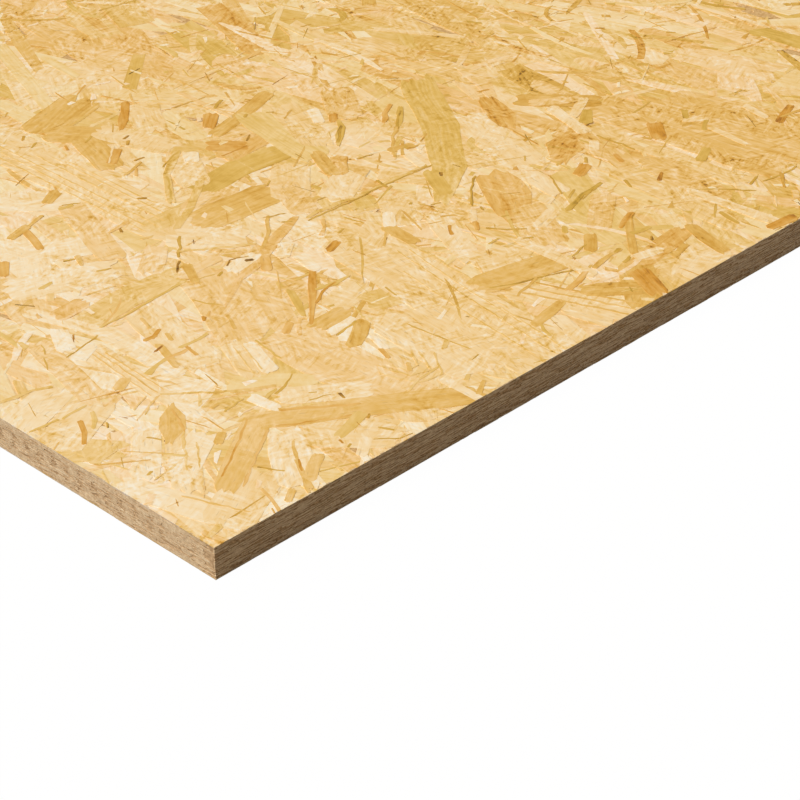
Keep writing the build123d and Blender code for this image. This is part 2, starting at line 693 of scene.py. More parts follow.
def patch_layers(low, high, face, plan, seed, material):
    """The settings of each layer for one patch of a face that looks up at that height."""
    settings = []
    area = (high.x - low.x) * (high.y - low.y)
    for number, row in enumerate(plan):
        flakes, density, sparse, smallest, largest, lean, depths, tones = row
        levels = sorted(face - depth for depth in depths)
        settings.append({
            "Flakes": flakes,
            "Patch Low": (low.x, low.y, levels[0]),
            "Patch High": (high.x, high.y, levels[1]),
            "Count": round(density * area),
            "Sparse Below": sparse,
            "Smallest": smallest,
            "Largest": largest,
            "Lean": lean,
            "Tilt": STRAND_TILT,
            "Palest": (tones[0], 0.0, 0.0),
            "Darkest": (tones[1], 1.0, 1.0),
            "Seed": seed * 10 + number,
            "Material": material,
        })
    return settings


for band in range(FACE_BANDS):
    for row in range(FACE_ROWS):
        patch_low, patch_high = face_patch(band, FACE_BANDS, row, FACE_ROWS)
        number = band * FACE_ROWS + row
        seed = FACE_SEED + number
        layers = patch_layers(patch_low, patch_high, sheet_high.z, FACE_LAYERS, seed, face_wood)
        patch = finish_patch(grow(strand_layer, layers), sheet_low, sheet_high)
        keep_piece(f"face_strands_{number:02d}", patch, face_wood)


# The strands round the near corner.
# These are the single flakes, splinters and bark bits that the photograph shows there, listed in
# millimetres: across the sheet from its front long edge, and along it from its end.

# Each wood: how dark it is on the scale of WOOD_STEPS, and how warm, from olive at 0 to amber at 1.
WOODS = {
    "white": (0.10, 0.5),
    "cream": (0.22, 0.5),
    "pale": (0.32, 0.5),
    "moss": (0.36, 0.0),
    "tan": (0.40, 0.7),
    "fawn": (0.44, 0.12),
    "sand": (0.48, 0.3),
    "honey": (0.51, 0.9),
    "straw": (0.56, 0.6),
    "ochre": (0.57, 0.6),
    "olive": (0.58, 0.1),
    "orange": (0.67, 1.0),
    "amber": (0.76, 1.0),
    "twig": (0.76, 0.2),
    "rust": (0.82, 1.0),
    "bark": (0.88, 0.5),
}

# Each strand: its wood, its width or its width at each point, and the points of its path.
BROAD_STRANDS = (
    ("tan", 36, (145, 16), (144, 112)), ("tan", 32, (124, 104), (158, 182)),
    ("sand", 19, (85, 190), (112, 194), (146, 193)), ("cream", 9, (70, 218), (86, 170)),
    ("cream", 22, (4, 140), (32, 150)), ("pale", 24, (4, 112), (36, 128)),
    ("cream", 13, (85, 176), (84, 122)), ("moss", 20, (96, 92), (120, 70)),
    ("pale", 24, (100, 122), (110, 176)), ("cream", 14, (16, 64), (40, 92)),
    ("pale", 16, (24, 44), (50, 80)), ("cream", 16, (4, 64), (18, 18)),
    ("pale", 26, (20, 12), (52, 28)), ("cream", 12, (64, 76), (68, 114)),
    ("pale", 12, (65, 110), (71, 168)), ("pale", 14, (109, 94), (121, 121)),
    ("tan", 14, (42, 132), (54, 190)), ("tan", 16, (150, 114), (168, 150)),
    ("pale", 34, (188, 22), (194, 78)), ("pale", 18, (182, 113), (204, 118)),
    ("sand", 20, (196, 102), (216, 96)), ("pale", 42, (216, -8), (236, 154)),
    ("cream", 24, (172, 226), (194, 200)), ("tan", 14, (140, 206), (158, 222)),
    ("pale", 19, (282, -6), (255, 57)), ("cream", 17, (246, 24), (240, 2)),
    ("cream", 16, (266, 4), (262, 24)), ("cream", 14, (264, 98), (284, 142)),
    ("pale", 20, (262, 90), (288, 84)), ("pale", 22, (270, 150), (284, 172)),
    ("cream", 20, (262, 196), (284, 208)), ("pale", 18, (222, 128), (236, 166)),
    ("honey", (18, 27, 24), (314, 112), (328, 130), (340, 150)), ("tan", 20, (306, 78), (324, 112)),
    ("pale", 14, (298, 196), (312, 172)), ("moss", 14, (329, 54), (333, 94)),
    ("cream", 24, (330, 4), (356, 12)), ("ochre", 20, (292, 2), (316, 30)),
    ("ochre", 14, (280, 32), (300, 14)), ("honey", 14, (322, 30), (360, 36)),
    ("tan", 14, (334, 70), (362, 92)), ("cream", 26, (362, 150), (380, 208)),
    ("pale", 18, (344, 164), (352, 204)), ("cream", 14, (350, 112), (354, 146)),
    ("honey", (12, 22, 19, 15), (380, 139), (391, 146), (402, 148), (416, 151)),
    ("pale", 18, (386, 20), (392, 106)), ("pale", 13, (426, 54), (420, 150)),
    ("tan", (12, 20, 16), (399, 106), (404, 126), (408, 142)), ("tan", 22, (404, 46), (412, 96)),
    ("honey", (10, 17, 15, 11), (389, 187), (395, 197), (400, 207), (405, 218)),
    ("tan", 30, (452, 50), (444, 166)), ("tan", 28, (476, 46), (462, 142)),
    ("tan", 26, (500, 60), (482, 140)), ("ochre", 16, (418, 204), (446, 172)),
    ("pale", 34, (178, 234), (177, 396)), ("cream", 24, (160, 296), (134, 322)),
    ("cream", 24, (80, 240), (124, 224)), ("cream", 22, (108, 264), (142, 248)),
    ("tan", 16, (136, 232), (156, 290)), ("sand", 15, (172, 242), (204, 243)),
    ("tan", 20, (200, 240), (228, 248)), ("olive", 19, (220, 255), (250, 259), (278, 256)),
    ("ochre", 25, (196, 227), (238, 225)), ("ochre", 28, (202, 374), (240, 386)),
    ("ochre", 22, (204, 366), (226, 338)), ("ochre", 17, (202, 312), (212, 346)),
    ("pale", 20, (226, 346), (238, 306)), ("pale", 20, (246, 330), (262, 356)),
    ("ochre", 10, (268, 299), (298, 307), (322, 316)), ("honey", 20, (254, 276), (280, 278)),
    ("orange", 13, (256, 290), (268, 276)), ("moss", 24, (288, 240), (298, 300)),
    ("pale", 20, (300, 250), (316, 292)), ("pale", 22, (246, 214), (268, 238)),
    ("tan", 16, (240, 196), (252, 226)), ("pale", 20, (220, 264), (236, 292)),
    ("cream", 20, (60, 10), (82, 42)), ("pale", 24, (92, 36), (116, 8)),
    ("cream", 15, (24, 52), (56, 70)), ("cream", 16, (106, 68), (136, 46)),
    ("pale", 18, (136, 8), (148, 22)), ("tan", 20, (334, 262), (352, 288)),
    ("pale", 18, (336, 236), (356, 214)),
)
NARROW_STRANDS = (
    ("fawn", (10, 20, 22, 22), (300, 152), (330, 176), (362, 214), (392, 262)),
    ("straw", (13, 16, 17, 17), (36, 32), (82, 61), (122, 37), (168, 5)),
    ("ochre", 20, (250, 73), (293, 63)), ("twig", 1.3, (248, 68), (262, 61), (280, 55), (295, 48)),
    ("amber", 1.4, (40, 39), (60, 52), (80, 66)), ("orange", 1.6, (41, 26), (60, 39), (80, 52)),
    ("amber", 1.5, (85, 52), (104, 40), (120, 31)), ("orange", 2.6, (96, 60), (126, 38)),
    ("ochre", 2.2, (58, 1), (70, 20), (82, 37)), ("ochre", 2.6, (61, 3), (72, 24)),
    ("ochre", 7, (66, 9), (81, 20)), ("rust", 1.5, (68, 16), (73, 24)),
    ("olive", 7, (100, 25), (120, 31)), ("bark", 1.8, (120, 26), (123, 28)),
    ("cream", 7, (96, 6), (107, 14)), ("twig", 0.9, (109, 11), (118, 3), (125, 2)),
    ("twig", 1.5, (118, 17), (121, 10)), ("rust", 1.6, (97, 19), (98, 22)),
    ("twig", 1.5, (96, 15), (99, 16)), ("cream", 6, (168, 0), (169, 24)),
    ("ochre", 4, (172, 3), (181, 9)), ("sand", 4, (4, 8), (13, 10)),
    ("ochre", 1.3, (17, 40), (24, 22), (29, 9)), ("ochre", 5, (47, 3), (54, 8)),
    ("twig", 0.9, (56, 33), (62, 22)), ("sand", 1.4, (18, 59), (31, 61)),
    ("twig", 1.6, (17, 64), (20, 65)), ("sand", 1.8, (32, 54), (52, 80)),
    ("sand", 1.2, (38, 52), (50, 68)), ("ochre", 5, (57, 61), (64, 66)),
    ("twig", 1.1, (116, 62), (119, 60)), ("twig", 1.0, (112, 57), (122, 54)),
    ("bark", 2.3, (125, 47), (126, 51)), ("twig", 1.1, (37, 88), (40, 82)),
    ("bark", 1.9, (41, 79), (44, 81)),
    ("ochre", (6, 13, 12, 4), (43, 79), (50, 85), (57, 93), (62, 100)),
    ("orange", 1.4, (53, 80), (61, 98)), ("ochre", 3, (75, 85), (79, 86)),
    ("olive", 1.2, (77, 79), (90, 81)), ("ochre", 4, (92, 90), (101, 84), (108, 78)),
    ("sand", 1.6, (66, 112), (84, 96), (98, 84)), ("olive", 2.6, (97, 73), (107, 76)),
    ("twig", 1.7, (104, 73), (112, 75), (122, 80)), ("white", 7, (96, 64), (94, 79)),
    ("olive", 3, (8, 87), (14, 98)), ("sand", 10, (7, 92), (20, 94)),
    ("white", 9, (117, 91), (126, 115)), ("olive", 1.2, (128, 96), (131, 116)),
    ("sand", 0.9, (110, 95), (119, 119)), ("sand", 0.9, (115, 94), (123, 117)),
    ("white", 6, (162, 95), (178, 97)), ("white", 6, (161, 85), (172, 91)),
    ("ochre", 9, (162, 78), (179, 91)), ("ochre", 12, (162, 104), (180, 105)),
    ("twig", 1.8, (162, 91), (178, 94)), ("amber", 3.4, (13, 105), (19, 113), (25, 121)),
    ("olive", 2.7, (25, 112), (34, 123)), ("twig", 1.2, (30, 108), (32, 111)),
    ("sand", 1.1, (48, 111), (60, 116)), ("sand", 1.1, (50, 104), (58, 110)),
    ("orange", 5, (146, 111), (154, 116)), ("honey", 2.4, (150, 104), (160, 116)),
    ("olive", (3, 5, 4), (164, 117), (170, 128), (176, 139)),
    ("amber", (2, 4, 4.5, 3), (161, 108), (174, 121), (188, 136), (201, 149)),
    ("olive", 3.4, (186, 130), (207, 128)), ("rust", 1.8, (177, 121), (187, 127), (198, 129)),
    ("ochre", 7, (55, 131), (63, 134)), ("ochre", 1.0, (62, 115), (67, 165)),
    ("ochre", 0.9, (66, 115), (70, 164)), ("ochre", 0.9, (70, 115), (72, 160)),
    ("olive", 1.6, (2, 131), (18, 130)), ("olive", 2.0, (20, 129), (35, 130)),
    ("olive", 3.6, (74, 130), (91, 136)), ("ochre", 5, (88, 126), (95, 147)),
    ("orange", 2.2, (89, 134), (104, 134)), ("orange", 3.2, (101, 127), (103, 138)),
    ("olive", 2.2, (101, 138), (119, 138)), ("ochre", 1.8, (127, 139), (135, 139)),
    ("ochre", 2.0, (131, 132), (137, 144)), ("rust", 2.8, (97, 154), (105, 158)),
    ("orange", 2.6, (93, 156), (100, 155)), ("rust", 1.4, (90, 144), (96, 145)),
    ("rust", 2.6, (126, 149), (129, 151)), ("orange", 2.2, (130, 151), (134, 153)),
    ("twig", 1.2, (136, 168), (138, 161), (142, 154)), ("ochre", 3, (102, 147), (106, 152)),
    ("sand", 3.5, (8, 163), (34, 156)), ("white", 9, (59, 166), (71, 170)),
    ("white", 9, (61, 177), (69, 193)), ("twig", 1.1, (57, 171), (68, 173), (80, 176)),
    ("ochre", 3, (103, 163), (105, 173)), ("twig", 1.0, (43, 169), (48, 178)),
    ("twig", 1.0, (51, 181), (55, 188)),
    ("honey", (2, 5, 7, 9, 5), (146, 154), (166, 167), (184, 173), (206, 184), (230, 194)),
    ("orange", 6, (183, 164), (190, 174)), ("olive", 1.8, (86, 181), (106, 182), (142, 185)),
    ("tan", 9, (149, 191), (173, 192)), ("ochre", 6, (149, 181), (157, 197)),
    ("twig", 1.0, (152, 182), (161, 180)), ("twig", 2.0, (161, 178), (165, 178)),
    ("white", 10, (169, 177), (187, 180)),
    ("bark", 1.3, (171, 182), (176, 185), (181, 184), (185, 181)),
    ("bark", 2.8, (181, 178), (184, 176)), ("honey", 12, (79, 205), (95, 206)),
    ("bark", 1.4, (149, 196), (157, 203)), ("twig", 1.8, (160, 207), (167, 214), (175, 223)),
    ("sand", 2.4, (163, 211), (197, 188)),
    ("sand", 1.2, (160, 52), (163, 43), (170, 42), (175, 52)),
    ("sand", 1.2, (156, 56), (160, 38), (171, 35), (179, 50)),
    ("sand", 1.3, (152, 50), (158, 31), (172, 28), (183, 44)), ("ochre", 3, (163, 42), (168, 47)),
    ("sand", 1.5, (151, 29), (160, 33), (176, 34)), ("white", 5, (170, 66), (174, 78)),
    ("orange", 2.6, (164, 58), (168, 66)), ("twig", 1.1, (194, 73), (195, 60), (198, 36)),
    ("sand", 4, (190, 44), (196, 48)), ("twig", 1.1, (210, 98), (212, 107)),
    ("sand", 1.5, (248, 78), (251, 110), (253, 146)),
    ("sand", 0.9, (224, 2), (232, 60), (243, 130)), ("sand", 0.9, (216, 8), (222, 60), (230, 112)),
    ("sand", 0.8, (234, 34), (240, 80), (248, 126)), ("sand", 0.9, (230, 0), (238, 50)),
    ("ochre", 1.5, (283, 1), (262, 54)), ("ochre", 1.6, (277, 1), (256, 53)),
    ("ochre", 1.5, (289, 3), (268, 55)), ("ochre", 6.5, (237, 28), (262, 32)),
    ("olive", 1.8, (234, 15), (239, 25)), ("ochre", 1.8, (252, 53), (272, 58)),
    ("sand", 1.2, (240, 48), (241, 58)), ("sand", 3.2, (236, 190), (276, 188), (322, 187)),
    ("twig", 1.2, (234, 187), (262, 186), (292, 186), (325, 184)),
    ("rust", 5, (219, 156), (228, 159)), ("twig", 1.4, (249, 175), (252, 165)),
    ("twig", 1.5, (235, 166), (240, 167)), ("twig", 1.4, (307, 137), (318, 148), (331, 158)),
    ("olive", 10, (306, 156), (318, 178)), ("rust", 2.2, (276, 121), (281, 129)),
    ("orange", 3.2, (289, 115), (295, 127)), ("cream", 6, (294, 124), (302, 132)),
    ("ochre", 9, (256, 130), (258, 151)), ("bark", 1.7, (245, 141), (249, 144)),
    ("ochre", 1.5, (242, 138), (265, 160)), ("white", 8, (259, 152), (269, 161)),
    ("white", 8, (200, 147), (204, 163)), ("cream", 9, (197, 168), (208, 177)),
    ("honey", 3, (228, 170), (240, 182)), ("ochre", 8, (313, 58), (325, 68)),
    ("twig", 1.2, (302, 60), (315, 63)), ("cream", 8, (294, 40), (296, 92)),
    ("ochre", 3.6, (300, 45), (324, 48)), ("twig", 2.2, (320, 46), (324, 48)),
    ("orange", 4.4, (275, 38), (293, 45)), ("twig", 1.8, (315, 36), (322, 38)),
    ("amber", 12, (304, 4), (313, 24)), ("rust", 2.2, (303, 12), (307, 15)),
    ("ochre", 5, (326, 39), (338, 52), (354, 68)), ("orange", 3.4, (342, 62), (358, 69)),
    ("bark", 2.2, (343, 42), (346, 44)), ("olive", 3, (341, 53), (353, 52)),
    ("cream", 8, (323, 36), (338, 31)), ("ochre", 4, (338, 22), (351, 27)),
    ("cream", 8, (314, 95), (331, 100)), ("twig", 1.5, (293, 113), (299, 104), (307, 97)),
    ("olive", 1.6, (281, 100), (289, 101)), ("twig", 1.6, (298, 91), (302, 88)),
    ("twig", 1.7, (306, 128), (308, 131)), ("twig", 1.8, (308, 116), (311, 114)),
    ("twig", 1.6, (291, 152), (296, 150)), ("twig", 2.0, (289, 184), (291, 193)),
    ("twig", 1.8, (284, 160), (286, 161)), ("ochre", 7, (322, 213), (334, 209)),
    ("twig", 3, (327, 209), (331, 211)), ("white", 6, (321, 188), (326, 209)),
    ("bark", 2.2, (320, 171), (322, 174)), ("olive", 4, (322, 84), (318, 80)),
    ("amber", 8, (372, 118), (382, 123)), ("rust", 3.4, (374, 119), (379, 121)),
    ("cream", 5, (335, 109), (341, 111)), ("twig", 1.3, (349, 111), (354, 119), (359, 127)),
    ("twig", 1.5, (348, 104), (357, 108)), ("olive", 4, (338, 95), (356, 100), (372, 104)),
    ("twig", 1.2, (352, 98), (364, 101)), ("twig", 2.2, (385, 125), (389, 129)),
    ("cream", 6, (400, 132), (407, 138)), ("orange", 3.4, (400, 111), (404, 119)),
    ("twig", 2.4, (381, 88), (385, 95)), ("rust", 3.2, (397, 82), (405, 86)),
    ("twig", 1.7, (416, 116), (414, 142)), ("twig", 1.3, (401, 63), (411, 52), (423, 37)),
    ("twig", 2.2, (428, 43), (436, 47)), ("twig", 1.5, (435, 41), (446, 38), (461, 38)),
    ("ochre", 2.2, (438, 28), (449, 39)), ("twig", 3.2, (388, 21), (391, 35)),
    ("twig", 1.4, (385, 34), (397, 43)), ("olive", 3, (401, 30), (409, 41)),
    ("cream", 8, (404, 2), (399, 62)), ("amber", 7, (396, 6), (414, 4)),
    ("amber", 10, (436, 115), (447, 128)), ("cream", 9, (413, 150), (422, 184)),
    ("cream", 7, (424, 168), (444, 178)), ("tan", 10, (420, 196), (440, 182)),
    ("olive", 8, (422, 158), (434, 167)), ("cream", 7, (463, 119), (472, 111)),
    ("olive", 3.2, (461, 103), (471, 110)), ("olive", 4.4, (465, 120), (472, 127)),
    ("cream", 5, (463, 76), (466, 102)), ("cream", 5, (497, 88), (501, 106)),
    ("rust", 5, (498, 79), (518, 87)), ("ochre", 3, (504, 82), (522, 77)),
    ("olive", 6, (431, 81), (444, 87)), ("twig", 1.4, (450, 146), (466, 148)),
    ("twig", 1.6, (364, 150), (368, 154)), ("twig", 1.5, (364, 30), (368, 34)),
    ("ochre", 9, (361, 8), (368, 36)), ("sand", 1.0, (166, 240), (165, 388)),
    ("sand", 1.0, (170, 244), (170, 384)), ("sand", 1.1, (175, 240), (174, 380)),
    ("sand", 1.2, (181, 242), (181, 350)), ("sand", 1.0, (186, 250), (186, 342)),
    ("sand", 1.0, (190, 262), (189, 332)), ("orange", 5, (116, 266), (122, 286)),
    ("ochre", 5, (112, 286), (126, 290)), ("ochre", 2.2, (122, 288), (139, 294)),
    ("amber", 6, (85, 257), (93, 268)), ("ochre", 7, (150, 303), (161, 309)),
    ("twig", 1.5, (154, 295), (162, 290)), ("olive", 3, (150, 292), (158, 292)),
    ("bark", 2.8, (187, 271), (190, 268)), ("bark", 2.0, (157, 249), (159, 253)),
    ("honey", 4, (152, 254), (166, 256)), ("twig", 1.8, (121, 226), (128, 223)),
    ("olive", 4, (90, 232), (97, 234)), ("twig", 1.8, (116, 247), (121, 245)),
    ("ochre", 3, (120, 236), (124, 246)), ("bark", 2.2, (188, 371), (191, 375)),
    ("twig", 1.8, (185, 360), (191, 363)), ("rust", 1.8, (197, 344), (199, 349)),
    ("sand", 5, (180, 231), (200, 243), (224, 262)),
    ("sand", 5, (197, 255), (216, 281), (238, 298)), ("olive", 1.3, (199, 257), (215, 279)),
    ("twig", 1.2, (221, 290), (237, 297)), ("ochre", 2, (200, 297), (216, 302)),
    ("orange", 1.8, (204, 292), (209, 299)),
    ("amber", (3, 6, 6, 5), (235, 342), (243, 350), (251, 358), (258, 366)),
    ("rust", 2.8, (236, 342), (244, 352), (252, 361)), ("orange", 6, (204, 314), (217, 324)),
    ("cream", 1.2, (203, 315), (217, 328)), ("bark", 2.0, (225, 324), (228, 328)),
    ("bark", 1.7, (228, 331), (232, 333)), ("twig", 1.5, (210, 344), (217, 347)),
    ("bark", 1.5, (215, 307), (221, 306)), ("amber", 9, (271, 309), (282, 319)),
    ("twig", 2.2, (289, 324), (299, 329)), ("bark", 1.6, (274, 280), (280, 284)),
    ("rust", 1.2, (252, 276), (270, 275)), ("twig", 2.2, (293, 303), (296, 305)),
    ("twig", 1.6, (306, 298), (309, 296)), ("ochre", 1.4, (308, 285), (318, 290)),
    ("olive", (2, 4, 4.4, 3.6), (306, 239), (314, 246), (322, 254), (328, 261)),
    ("rust", 4.4, (325, 262), (330, 269)), ("twig", 2.8, (308, 241), (323, 255)),
    ("olive", (2, 4, 4.4, 4), (340, 227), (350, 234), (358, 241), (364, 247)),
    ("twig", 2.6, (343, 230), (360, 244)), ("white", 7, (319, 267), (326, 281)),
    ("orange", 3.2, (343, 240), (352, 248), (362, 254)), ("white", 9, (236, 283), (242, 291)),
    ("twig", 1.6, (245, 232), (250, 235)), ("ochre", 2.4, (317, 206), (330, 220), (344, 231)),
    ("ochre", 2.4, (322, 204), (334, 216)), ("twig", 1.1, (302, 219), (310, 217)),
    ("twig", 1.4, (223, 196), (227, 193)), ("ochre", 2.2, (196, 182), (207, 190), (222, 206)),
    ("twig", 1.2, (220, 206), (230, 202)), ("twig", 1.3, (253, 200), (258, 199)),
    ("honey", 9, (284, 214), (296, 228)), ("ochre", 9, (280, 216), (290, 240)),
)

CORNER_SEED = 41
BROAD_BELOW_FACE = (0.00016, 0.00012)
BROAD_THICKNESS = 0.0003
NARROW_BELOW_FACE = (0.00010, 0.00003)
NARROW_THICKNESS = 0.0002

# Points stand this far apart along a path, but closer on a narrow strand.
STATION_GAP = 0.012
NARROWEST_STATION_GAP = 0.003
STATION_GAP_IN_WIDTHS = 2.5

# How far a side runs in and out, and a splinter to and fro, as a share of the width.
SPLINTER_WIDTH = 0.0045
SPLINTER_UNEVEN = 0.28
SPLINTER_WANDER = 0.3
CHIP_WIDTH = 0.010
CHIP_UNEVEN = 0.12
BROAD_UNEVEN = 0.03
END_UNEVEN = 0.04

# How many tips a torn end has, up to each width, and how deep they are as a share of it. The
# two limits are shares of the length.
TIPS_UP_TO = ((0.0015, 1), (0.004, 2), (0.010, 4), (1.0, 7))
SINGLE_TIP_DEPTH = 1.5
TIP_DEPTH = 0.30
TIP_SLANT = 0.35
DEPTH_LIMIT = 0.25
SLANT_LIMIT = 0.3


def path_rows(draw, points, widths):
    """Pairs of points down both sides of a flake that follows a path, as (place, along, across)."""
    path = [(points[0], widths[0])]
    slim = max(widths) < SPLINTER_WIDTH
    gap = max(NARROWEST_STATION_GAP, min(STATION_GAP, max(widths) * STATION_GAP_IN_WIDTHS))
    for before, after, narrow, wide in zip(points, points[1:], widths, widths[1:]):
        steps = max(1, round((after - before).length / gap))
        for step in range(1, steps + 1):
            share = step / steps
            path.append((before.lerp(after, share), narrow + (wide - narrow) * share))
    rows = []
    travelled = 0.0
    for number, (here, width) in enumerate(path):
        back = here - path[max(number - 1, 0)][0]
        ahead = path[min(number + 1, len(path) - 1)][0] - here
        travelled += back.length
        heading = (back.normalized() + ahead.normalized()).normalized()
        side = Vector((-heading.y, heading.x))
        end = number in (0, len(path) - 1)
        uneven = SPLINTER_UNEVEN if slim else CHIP_UNEVEN if width < CHIP_WIDTH else BROAD_UNEVEN
        here = here + side * width * draw.uniform(-SPLINTER_WANDER, SPLINTER_WANDER) * slim
        left = width * (0.5 + draw.uniform(-uneven - END_UNEVEN * end, uneven * 0.5))
        right = width * (0.5 + draw.uniform(-uneven - END_UNEVEN * end, uneven * 0.5))
        rows.append(((here + side * left, travelled, left), (here - side * right, travelled, -right)))
    return rows


def torn_end(draw, row, heading, outward, width, length):
    """The splinters past the last row of a flake: oblique and uneven, from its left to its right."""
    first, second = row
    tips = next(count for limit, count in TIPS_UP_TO if width < limit)
    deep = min(width * (SINGLE_TIP_DEPTH if tips == 1 else TIP_DEPTH), length * DEPTH_LIMIT)
    slant = draw.uniform(-TIP_SLANT, TIP_SLANT) * min(width, length * SLANT_LIMIT)
    torn = []
    for tip in range(1, tips + 1):
        share = (tip + draw.uniform(-TOOTH_JITTER, TOOTH_JITTER)) / (tips + 1)
        reach = deep * draw.uniform(0.05, 1.0) + abs(slant) * (share if slant > 0 else 1 - share)
        spot = first[0].lerp(second[0], share) + heading.normalized() * reach
        across = first[2] * (1 - share) + second[2] * share
        torn.append((spot, first[1] + outward * reach, across))
    return torn


def lay_strand(shape, marks, draw, strand, level, thickness):
    """Adds one closed flake along a path, with torn ends, and stores its wood and grain."""
    kind, width, *path = strand
    tone, warmth = WOODS[kind]
    points = [Vector((across / 1000, along / 1000)) for across, along in path]
    widths = width if isinstance(width, tuple) else [width] * len(points)
    widths = [value / 1000 for value in widths]
    rows = path_rows(draw, points, widths)
    length = rows[-1][0][1]
    broadest = max(widths)
    near = torn_end(draw, rows[0], points[0] - points[1], -1, broadest, length)
    far = torn_end(draw, rows[-1], points[-1] - points[-2], 1, broadest, length)
    outline = [row[0] for row in reversed(rows)] + near + [row[1] for row in rows] + far[::-1]
    mark = draw.random()
    top = []
    under = []
    for spot, along, across in outline:
        for ring, height in ((top, level), (under, level - thickness)):
            vertex = shape.verts.new((sheet_high.x - spot.y, sheet_low.y + spot.x, height))
            vertex[marks["grain"]] = (along - length / 2, across, 0)
            vertex[marks["size"]] = (length, broadest, thickness)
            vertex[marks["wood"]] = (tone, warmth, mark)
            ring.append(vertex)
    count = len(rows)
    flats = [
        list(range(count - 1, count + len(near) + 1)),
        [*range(2 * count + len(near) - 1, len(outline)), 0],
    ]
    for step in range(count - 1):
        left = count - 1 - step
        right = count + len(near) + step
        flats.append([left - 1, left, right, right + 1])
    for flat in flats:
        shape.faces.new([top[place] for place in flat])
        shape.faces.new([under[place] for place in reversed(flat)])
    close_sides(shape, top, under)


def corner_mesh():
    """All the listed strands, as one mesh."""
    draw = random.Random(CORNER_SEED)
    shape = bmesh.new()
    marks = {name: shape.verts.layers.float_vector.new(name) for name in ("grain", "size", "wood")}
    for strands, (deepest, highest), thickness in (
        (BROAD_STRANDS, BROAD_BELOW_FACE, BROAD_THICKNESS),
        (NARROW_STRANDS, NARROW_BELOW_FACE, NARROW_THICKNESS),
    ):
        for number, strand in enumerate(strands):
            share = number / len(strands)
            level = sheet_high.z - deepest + (deepest - highest) * share
            lay_strand(shape, marks, draw, strand, level, thickness)
    bmesh.ops.recalc_face_normals(shape, faces=shape.faces)
    mesh = bpy.data.meshes.new("corner_strands")
    shape.to_mesh(mesh)
    shape.free()
    return mesh


keep_piece("corner_strands", finish_patch(corner_mesh(), sheet_low, sheet_high), face_wood)


# The sawn edges.
# The sheet is trimmed with a saw, so its four edges show every strand cut through: long thin
# lines in the two face layers, short ends in the cross-laid middle, and small open pores.

SAWN_STEPS = (0.00, 0.30, 0.55, 0.80, 1.00)
SAWN_BROWN = ((252, 236, 208), (236, 213, 176), (212, 182, 142), (178, 146, 108), (112, 84, 56))
SAWN_GREY = ((250, 236, 210), (233, 211, 176), (208, 181, 142), (173, 144, 108), (108, 84, 58))
EDGE_SEED = 300
FACE_LAYER_SHARE = 0.26
ARRIS_OVERHANG = 0.03
EDGE_BELOW_FACE = 0.0002
LINE_ENDS = (
    (thin_flakes, 100000, 0.0, (0.008, 0.0006, 0.0006), (0.030, 0.0013, 0.0006), 0.08,
     (0.00012, 0.00004), (0.48, 0.60)),
)
SHORT_ENDS = (
    (thin_flakes, 140000, 0.0, (0.004, 0.0007, 0.0006), (0.016, 0.0014, 0.0006), 0.16,
     (0.00012, 0.00004), (0.46, 0.62)),
)

# Each edge, a quarter turn on from the one before: its first corner and its length, and how
# the strands of the face layers and of the middle show in it.
EDGES = (
    ("edge_ends_front", (sheet_low.x, sheet_low.y, 0), sheet_size.x, LINE_ENDS, SHORT_ENDS),
    ("edge_ends_right", (sheet_high.x, sheet_low.y, 0), sheet_size.y, SHORT_ENDS, LINE_ENDS),
    ("edge_ends_back", (sheet_high.x, sheet_high.y, 0), sheet_size.x, LINE_ENDS, SHORT_ENDS),
    ("edge_ends_left", (sheet_low.x, sheet_high.y, 0), sheet_size.y, SHORT_ENDS, LINE_ENDS),
)
sawn_wood = strand_material(
    "sawn_ends",
    ramp_stops(SAWN_STEPS, SAWN_BROWN),
    ramp_stops(SAWN_STEPS, SAWN_GREY),
    golden_and_falloff=0.0,
    fine=5.5,
    streaked=0.20,
    speckled=0.85,
    mark_angles=(),
)

for number, (name, corner, length, outer, middle) in enumerate(EDGES):
    layers = []
    for band, (bottom, top, plan) in enumerate((
        (-ARRIS_OVERHANG, FACE_LAYER_SHARE, outer),
        (FACE_LAYER_SHARE, 1 - FACE_LAYER_SHARE, middle),
        (1 - FACE_LAYER_SHARE, 1 + ARRIS_OVERHANG, outer),
    )):
        band_low = Vector((0, bottom * sheet_size.z, 0))
        band_high = Vector((length, top * sheet_size.z, 0))
        seed = EDGE_SEED + number * 10 + band
        layers += patch_layers(band_low, band_high, 0, plan, seed, sawn_wood)
    low = Vector((0, EDGE_BELOW_FACE, 0))
    high = Vector((length, sheet_size.z - EDGE_BELOW_FACE, 0))
    patch = finish_patch(grow(strand_layer, layers), low, high)
    upright = Matrix.Rotation(math.radians(90), 4, "X")
    heading = Matrix.Rotation(math.radians(90 * number), 4, "Z")
    patch.transform(Matrix.Translation(corner) @ heading @ upright)
    keep_piece(name, patch, sawn_wood)


# The underside.
# The lower face is pressed from the same flakes. The photograph doesn't show it, so it has
# only the broad ones, with fewer narrow ones between them.

UNDERSIDE_SEED = 500
UNDERSIDE_LAYERS = (
    (plain_flakes, 1150, 0.0, (0.070, 0.018, 0.0005), (0.145, 0.038, 0.0005), 0.7,
     (0.00040, 0.00024), (0.22, 0.55)),
    (broad_flakes, 320, 0.0, (0.035, 0.005, 0.0004), (0.120, 0.020, 0.0004), 1.2,
     (0.00030, 0.00016), (0.14, 0.62)),
)
upside_down = Matrix.Rotation(math.pi, 4, "X")

